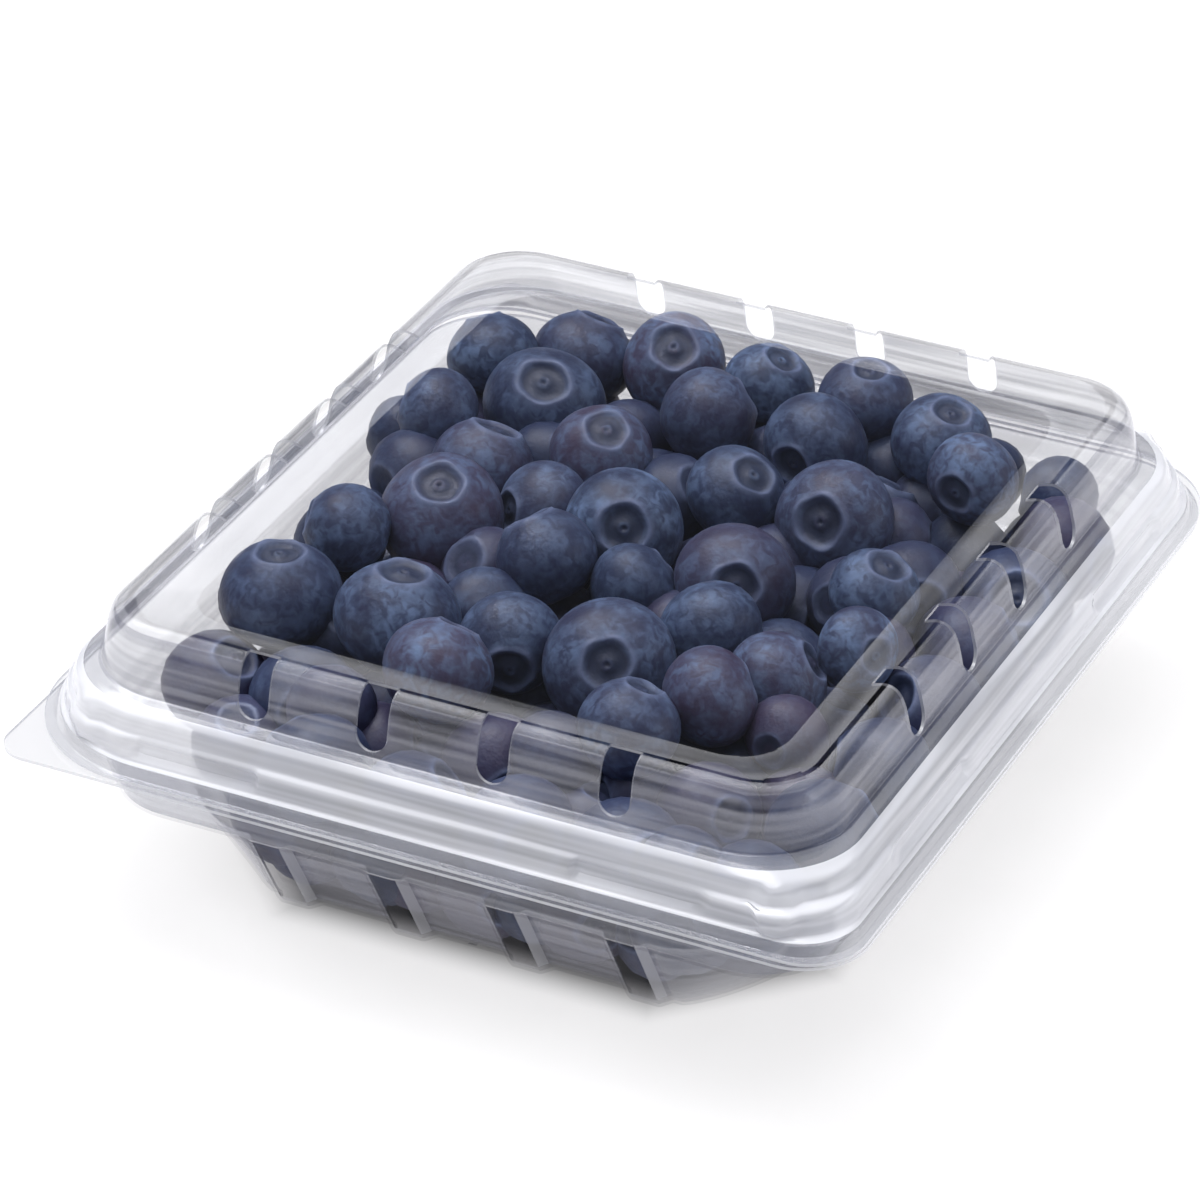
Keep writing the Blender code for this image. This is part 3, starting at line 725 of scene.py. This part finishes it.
def tub_shape(kind, out):
    """Corner reaches and bulge for a corner kind: 0 flange, 1 mouth, 2 band, 3 body, 4 base."""
    flange = list(FLANGE_CORNERS)
    flange[2] = TAB_CORNER
    cut = [FOOT_HALF[axis] + out - STRAIGHT_HALF - 0.9 for axis in (0, 1)]
    corners = []
    for radius in flange:
        if kind <= 1:
            size = radius + (12.0 - radius) * kind
            corners.append((size, size))
        elif kind <= 2:
            size = 12.0 - 2.0 * (kind - 1)
            corners.append((size, size))
        elif kind <= 3:
            share = kind - 2
            corners.append(tuple(10.0 + (reach - 10.0) * share for reach in cut))
        else:
            corners.append(tuple(cut))
    if kind <= 2:
        bulge = 2.0
    elif kind <= 3:
        bulge = 2.0 - 0.3 * (kind - 2)
    else:
        bulge = 1.7 - 0.4 * min(kind - 3, 1.0)
    return corners, bulge


def rib_zone(x, y):
    """The slot for a place on the tub's side: on a corner, a panel, or a rib's slope or face. The
    slopes take the pale edge plastic as painted reflection lines, and the faces a duller copy of
    the clear plastic as painted shade.
    """
    front = abs(y) / FOOT_HALF[1] > abs(x) / FOOT_HALF[0]
    place = x if front else y
    if abs(place) > STRAIGHT_HALF:
        return CLOUDED
    share = rib_share(place)
    if share < 0.12:
        return WALL
    return EDGE if share < 0.9 else RIB


def make_tub(surfaces):
    """The tub, with its ribbed sides."""
    rings = []
    for out, z, kind, ribs in tub_profile():
        corners, bulge = tub_shape(kind, out)
        rings.append(ring(out, z, corners, bulge, RIB_DEPTH * ribs, TUB_ENDS))
    tub = add("tub_shell", loft("tub_shell", rings), *surfaces)
    for polygon in tub.data.polygons:
        x, y, z = polygon.center / MM
        if z > BAND_Z:
            polygon.material_index = CLOUDED
        elif z > FLOOR_Z:
            polygon.material_index = rib_zone(x, y)
    thicken(tub)
    apply_modifiers(tub)
    smooth(tub)
    return tub


def crown_depth(share, depth, lift):
    """How far the skin is out at a share of the crown's angle: a crater with a raised rim."""
    stops = (0.0, 0.08, 0.2, 0.34, 0.62, 0.8, 0.9, 0.96, 1.04, 1.14, 1.4)
    floor = -depth
    levels = (floor - 0.02, floor, 0.7 * floor, floor, 0.98 * floor, 0.8 * floor, 0.3 * floor)
    return between(share, stops, (*levels, 0.6 * lift, lift, 0.45 * lift, 0.0))


def berry_shape(radius, chance, bloom_and_shade, turns, levels):
    """Points, faces and colour rows of one berry, crown up, centred at the origin.

    A colour row holds how reddish the skin is, how dark the crown is (partly its own colour,
    partly painted shade in its hollow), how much bloom there is (less on the lower berries,
    as painted shade), and how pale the crown's rim is.
    """
    crown = 0.44 + chance.uniform(-0.07, 0.06)
    flat = chance.uniform(0.86, 0.95)
    oval = chance.uniform(-0.03, 0.03)
    lump = [chance.uniform(0, 6.28) for _ in range(5)]
    depth = chance.uniform(0.10, 0.15)
    lift = chance.uniform(0.02, 0.05)
    twist = chance.uniform(0, 6.28)
    red = chance.random() ** 3
    dusty_and_shaded = bloom_and_shade * chance.uniform(0.45, 1.0)
    outer = [crown * value for value in CROWN_STEPS[:: 1 if turns > FILLER_MESH[0] else 2]]
    rest = levels - len(outer)
    start = outer[-1]
    outer += [start + (math.pi - start) * (step / rest) for step in range(1, rest + 1)]
    points, colours = [], []
    for level, angle in enumerate(outer):
        share = angle / crown
        for step in range(turns):
            around = 2 * math.pi * step / turns
            wave = 0.5 + 0.5 * math.cos(LOBES * around + twist + 0.6 * math.sin(around + lump[3]))
            size = 1.0 + 0.018 * math.sin(2 * around + lump[0]) * math.sin(angle)
            size += 0.014 * math.sin(3 * around + lump[1]) * math.sin(2 * angle)
            size += 0.012 * math.cos(3 * angle + lump[2])
            size += crown_depth(share, depth, lift * (0.35 + 0.9 * wave))
            uneven = 0.05 * (wave - 0.5) + 0.04 * math.sin(2 * around + lump[4])
            lean = angle * (1.0 + uneven * between(share, (0.4, 1.0, 1.5), (0.0, 1.0, 0.0)))
            size -= 0.03 * math.exp(-((math.pi - angle) / 0.25) ** 2)
            # darker where the crown's hollow is deep: partly its own colour, partly painted shade
            crown_tone_and_shade = between(share, *CROWN_TONE_AND_SHADE)
            pale = between(share, *RIM_PALE)
            x = radius * size * math.sin(lean) * math.cos(around) * (1 + oval)
            y = radius * size * math.sin(lean) * math.sin(around) * (1 - oval)
            z = radius * size * math.cos(lean) * flat
            points.append((x, y, z))
            colours.append((red, crown_tone_and_shade, dusty_and_shaded, pale * (0.55 + 0.45 * wave)))
            if level == 0 or level == len(outer) - 1:
                break
    faces = []
    last = len(points) - 1
    rings_in = len(outer) - 2
    first = 1
    for step in range(turns):
        after = (step + 1) % turns
        faces.append((0, first + step, first + after))
        for row in range(rings_in - 1):
            a = first + row * turns
            b = a + turns
            faces.append((a + step, b + step, b + after, a + after))
        tail = first + (rings_in - 1) * turns
        faces.append((last, tail + after, tail + step))
    return points, faces, colours


def between(value, stops, results):
    """Read results at stops along straight lines."""
    if value <= stops[0]:
        return results[0]
    for low, high, first, second in zip(stops, stops[1:], results, results[1:]):
        if value <= high:
            return first + (second - first) * (value - low) / (high - low)
    return results[-1]


def room(z):
    """Return the half sizes of the space inside the shells at z, and its corner cut, in mm."""
    out = between(z, ROOM_LEVELS, ROOM_OUTS)
    half_x, half_y = FOOT_HALF[0] + out, FOOT_HALF[1] + out
    full = between(z, CUT_LEVELS, CUT_SHARES)
    inner = between(z, CUT_LEVELS[1:], CUT_STARTS)
    return half_x, half_y, 2 * inner + full * (half_x + half_y - 2 * inner)


def heap_height(x, y):
    """Return the smooth height of the heap in mm: lower at its edges, empty at one corner."""
    corner = math.hypot(x + FOOT_HALF[0], y + FOOT_HALF[1])
    empty = min(max((EMPTY_FAR - corner) / (EMPTY_FAR - EMPTY_NEAR), 0.0), 1.0)
    front = max(0.0, -y / (FOOT_HALF[1]) - FRONT_FROM)
    side = max(0.0, abs(x) / (FOOT_HALF[0]) - SIDE_FROM)
    return PANEL - EMPTY_DROP * empty - EDGE_SLOPE * (front + side)


def held(x, y, z, size):
    """Return a berry's centre, moved inside the shells."""
    z = min(max(z, GROUND_GAP + size), PANEL - size)
    half_x, half_y, cut = room(z)
    x = min(max(x, size - half_x), half_x - size)
    y = min(max(y, size - half_y), half_y - size)
    over = abs(x) + abs(y) - (cut - math.sqrt(2) * size)
    if over > 0:
        x -= math.copysign(over / 2, x)
        y -= math.copysign(over / 2, y)
    return x, y, z


def wall_rows(chance):
    """Return rows of berries pressed to the walls, below the ones on top."""
    rows = []
    for along_x, first, count, away, z in WALL_ROWS:
        for index in range(count):
            size = chance.uniform(*WALL_SIZES)
            along = first + index * WALL_STEP + chance.uniform(-1, 1)
            x, y = (along, away) if along_x else (away, along)
            here = z + chance.uniform(-1.2, 1.2)
            rows.append([*held(x, y, here, size), size, 0.6])
    return rows


def drop_in(rows, sizes, least, chance):
    """Add berries at chance places where there is nearly room."""
    for _ in range(FILL_TRIES):
        size = chance.uniform(*sizes)
        spot = (chance.uniform(-50, 50), chance.uniform(-58, 58), chance.uniform(8, 30))
        if spot[2] + size > heap_height(*spot[:2]) - FILL_DROP:
            continue
        if math.dist(held(*spot, size), spot) > 1.5:
            continue
        if all(math.dist(spot, other[:3]) > least * (size + other[3]) for other in rows):
            rows.append([*spot, size, 1.0])


def pushes(rows):
    """Return how far each berry is pushed by the ones it overlaps."""
    moves = [[0.0, 0.0, 0.0] for _ in rows]
    for here, first in enumerate(rows):
        for there in range(here + 1, len(rows)):
            second = rows[there]
            need = (first[3] + second[3]) * SQUASH
            apart = math.dist(first[:3], second[:3])
            if apart >= need:
                continue
            push = 0.5 * (need - apart) / apart
            share = first[4] / (first[4] + second[4])
            for axis in range(3):
                part = (first[axis] - second[axis]) * push
                moves[here][axis] += part * share
                moves[there][axis] -= part * (1 - share)
    return moves


def settle(rows, homes, turns):
    """Push overlapping berries apart, and keep the ones on top near their places."""
    for _ in range(turns):
        for row, home, move in zip(rows, homes, pushes(rows)):
            place = [row[axis] + move[axis] for axis in range(3)]
            if home:
                place = [spot + (want - spot) * 0.05 for spot, want in zip(place, home)]
            else:
                highest = heap_height(place[0], place[1]) - row[3] - 3.5
                place[2] = min(place[2] - 0.02, highest)
            row[:3] = held(*place, row[3])


def place_berries():
    """Return (x, y, z, radius) of every berry, the ones on top first."""
    chance = random.Random(BERRY_SEED)
    rows = [[x, y, PANEL - size - drop, size, FIRM] for x, y, size, drop, _, _ in TOP_BERRIES]
    homes = [tuple(row[:3]) for row in rows]
    rows += wall_rows(chance)
    homes += [None] * (len(rows) - len(homes))
    settle(rows, homes, 30)
    for smallest, largest, least, turns in FILLS:
        drop_in(rows, (smallest, largest), least, chance)
        homes += [None] * (len(rows) - len(homes))
        settle(rows, homes, turns)
    return [tuple(row[:4]) for row in rows]


def filled_in(placed):
    """The placed berries, and small ones squeezed in along the base and into the gaps."""
    chance = random.Random(BERRY_SEED)
    rows = [[*row, 1.0] for row in placed]
    for along_x, away in BASE_ROWS:
        for centre in rib_centres():
            size = chance.uniform(*BASE_SIZES)
            x, y = (centre, away) if along_x else (away, centre)
            rows.append([*held(x, y, GROUND_GAP + size, 1.06 * size), size, 1.0])
    drop_in(rows, FILLER_SIZES, FILLER_LEAST, chance)
    return [tuple(row[:4]) for row in rows]


def make_berries(skin):
    """Every berry, in one mesh with a colour attribute."""
    chance = random.Random(LOOK_SEED)
    points, faces, colours = [], [], []
    placed = place_berries()
    whole = filled_in(placed)
    for index, (x, y, z, radius) in enumerate(whole):
        if index < len(TOP_BERRIES):
            lean_x, lean_y = TOP_BERRIES[index][4:]
            bloom_and_shade, fine = 1.0, TOP_MESH
        else:
            lean_x, lean_y = (chance.uniform(-WILD_LEAN, WILD_LEAN) for _ in range(2))
            # the lower berries get less bloom, so they are darker: painted shade
            bloom_and_shade, fine = LOW_BLOOM_PAINTED_SHADE, LOW_MESH if index < len(placed) else FILLER_MESH
        made, made_faces, made_colours = berry_shape(radius * PLUMP, chance, bloom_and_shade, *fine)
        up = Vector((math.sin(lean_x), -math.sin(lean_y), math.cos(lean_x) * math.cos(lean_y)))
        turn = Vector((0, 0, 1)).rotation_difference(up.normalized())
        first = len(points)
        for point in made:
            spot = turn @ Vector(point) + Vector((x, y, z))
            points.append(Vector(held(*spot, 0.0)) * MM)
        faces += [tuple(first + index for index in face) for face in made_faces]
        colours += made_colours
    mesh = bpy.data.meshes.new("berries")
    mesh.from_pydata(points, [], faces)
    layer = mesh.color_attributes.new("berry", "FLOAT_COLOR", "POINT")
    layer.data.foreach_set("color", np.array(colours, np.float32).ravel())
    mesh.polygons.foreach_set("use_smooth", [True] * len(mesh.polygons))
    return add("berries", mesh, skin)


def make_shade_core(skin):
    """A smaller lump inside, so that no light shows through the gaps, painted dark with the crown's
    colour as the shade deep in the heap.
    """
    shape = bmesh.new()
    bmesh.ops.create_icosphere(shape, subdivisions=4, radius=1.0)
    for vert in shape.verts:
        x, y, z = vert.co
        x = math.copysign(abs(x) ** CORE_POWER, x) * CORE_HALF[0]
        y = math.copysign(abs(y) ** CORE_POWER, y) * CORE_HALF[1]
        lump = math.sin(x * 0.42) * math.cos(y * 0.38) * 1.2
        up = math.copysign(abs(z) ** CORE_POWER, z) * (CORE_HALF[2] + lump)
        vert.co = Vector((x, y, CORE_Z + up)) * MM
    mesh = bpy.data.meshes.new("berry_shade_core")
    shape.to_mesh(mesh)
    shape.free()
    mesh.polygons.foreach_set("use_smooth", [True] * len(mesh.polygons))
    layer = mesh.color_attributes.new("berry", "FLOAT_COLOR", "POINT")
    # the full crown colour and no bloom: the lump is painted dark as shade
    layer.data.foreach_set("color", [0.0, 1.0, 0.0, 0.0] * len(mesh.vertices))
    return add("berry_shade_core", mesh, skin)


def make_hinge(face):
    """The thin folded strip that joins the two flanges along the back."""
    shape = bmesh.new()
    rows = []
    for step in range(9):
        angle = math.pi * (step / 8 - 0.5)
        y = FOOT_HALF[1] + HINGE_OUT + HINGE_BOW[0] * math.cos(angle)
        z = (LID_FLANGE_Z + TUB_FLANGE_Z) / 2 + HINGE_BOW[1] * math.sin(angle)
        places = range(-HINGE_HALF, HINGE_HALF + 1, HINGE_STEP)
        rows.append([shape.verts.new((x * MM, y * MM, z * MM)) for x in places])
    for low, high in zip(rows, rows[1:]):
        for index in range(len(low) - 1):
            shape.faces.new((low[index], low[index + 1], high[index + 1], high[index]))
    bmesh.ops.recalc_face_normals(shape, faces=shape.faces)
    mesh = bpy.data.meshes.new("hinge_film")
    shape.to_mesh(mesh)
    shape.free()
    mesh.polygons.foreach_set("use_smooth", [True] * len(mesh.polygons))
    film = add("hinge_film", mesh, face)
    solid = film.modifiers.new("sheet", "SOLIDIFY")
    solid.thickness = HINGE_SHEET * MM
    solid.offset = 0.0
    apply_modifiers(film)
    return film


def area_light(name, place, size, radiance):
    """A light that faces the origin."""
    light = bpy.data.lights.new(name, "AREA")
    light.shape = "RECTANGLE"
    light.size, light.size_y = size
    light.energy = radiance * math.pi * size[0] * size[1]
    made = bpy.data.objects.new(name, light)
    made.location = place
    made.rotation_euler = (-Vector(place)).to_track_quat("-Z", "Y").to_euler()
    bpy.context.scene.collection.objects.link(made)


def studio():
    """The floor, the light and the render's bounces."""
    scene = bpy.context.scene
    world = bpy.data.worlds.new("studio")
    world.use_nodes = True
    back = world.node_tree.nodes["Background"]
    back.inputs["Color"].default_value = (0.86, 0.9, 1.0, 1.0)
    back.inputs["Strength"].default_value = AMBIENT
    scene.world = world
    for light in LIGHTS:
        area_light(*light)
    shape = bmesh.new()
    bmesh.ops.create_grid(shape, x_segments=1, y_segments=1, size=FLOOR_HALF)
    mesh = bpy.data.meshes.new("floor")
    shape.to_mesh(mesh)
    shape.free()
    floor = add("floor", mesh, painted_glow_floor("painted_glow_floor"))
    scene.view_settings.view_transform = "Standard"
    scene.view_settings.look = "None"
    scene.cycles.transparent_max_bounces = 24
    scene.cycles.max_bounces = 4
    scene.cycles.diffuse_bounces = 2
    scene.cycles.glossy_bounces = 2


def camera():
    """The view from the front right, a little above the pack."""
    azimuth, elevation = math.radians(AZIMUTH), math.radians(ELEVATION)
    back = Vector(
        (
            math.sin(azimuth) * math.cos(elevation),
            -math.cos(azimuth) * math.cos(elevation),
            math.sin(elevation),
        )
    )
    lens = bpy.data.cameras.new("camera")
    lens.lens = LENS
    lens.sensor_width = SENSOR
    made = bpy.data.objects.new("camera", lens)
    made.location = Vector(AIM) + back * AWAY
    turn = (-back).to_track_quat("-Z", "Y")
    made.rotation_mode = "QUATERNION"
    made.rotation_quaternion = turn
    bpy.context.scene.collection.objects.link(made)
    bpy.context.scene.camera = made


def plastics():
    """The shells' materials, in the order of their slots, then the inner faces'."""
    return (
        clear_plastic("clear_plastic", 0.052, 1.3, (0.925, 0.923, 0.93)),
        # pale cut edges, also laid on the rib slopes as painted reflection lines
        milky_plastic("plastic_edge", 0.40, 0.0, (0.68, 0.69, 0.74)),
        milky_plastic("clouded_plastic", 0.26, 0.09, (0.50, 0.51, 0.56)),
        milky_plastic("milky_plastic", 0.65, 0.13, (0.80, 0.81, 0.865), 0.07),
        milky_plastic("wall_plastic", 0.36, 0.19, (0.30, 0.305, 0.365)),
        # a duller copy of the clear plastic on the rib faces, as painted shade
        clear_plastic("rib_plastic_painted_shade", 0.012, 0.2, (0.925, 0.923, 0.93)),
        milky_plastic("border_plastic", 0.10, 0.06, (0.85, 0.85, 0.89), 0.05),
        *[inner_face("inner_plastic")] * INNER_FACES,
    )


def main():
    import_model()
    camera()
    surfaces = plastics()
    skin = berry_skin("berry_skin")
    lid = make_lid(surfaces)
    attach(lid, "lid")
    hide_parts("lid")
    tub = make_tub(surfaces)
    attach(tub, "tub")
    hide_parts("tub")
    berries = make_berries(skin)
    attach(berries, "tub")
    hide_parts("berry_heap")
    core = make_shade_core(skin)
    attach(core, "tub")
    hinge = make_hinge(surfaces[CLEAR])
    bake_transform(hinge)
    studio()


main()
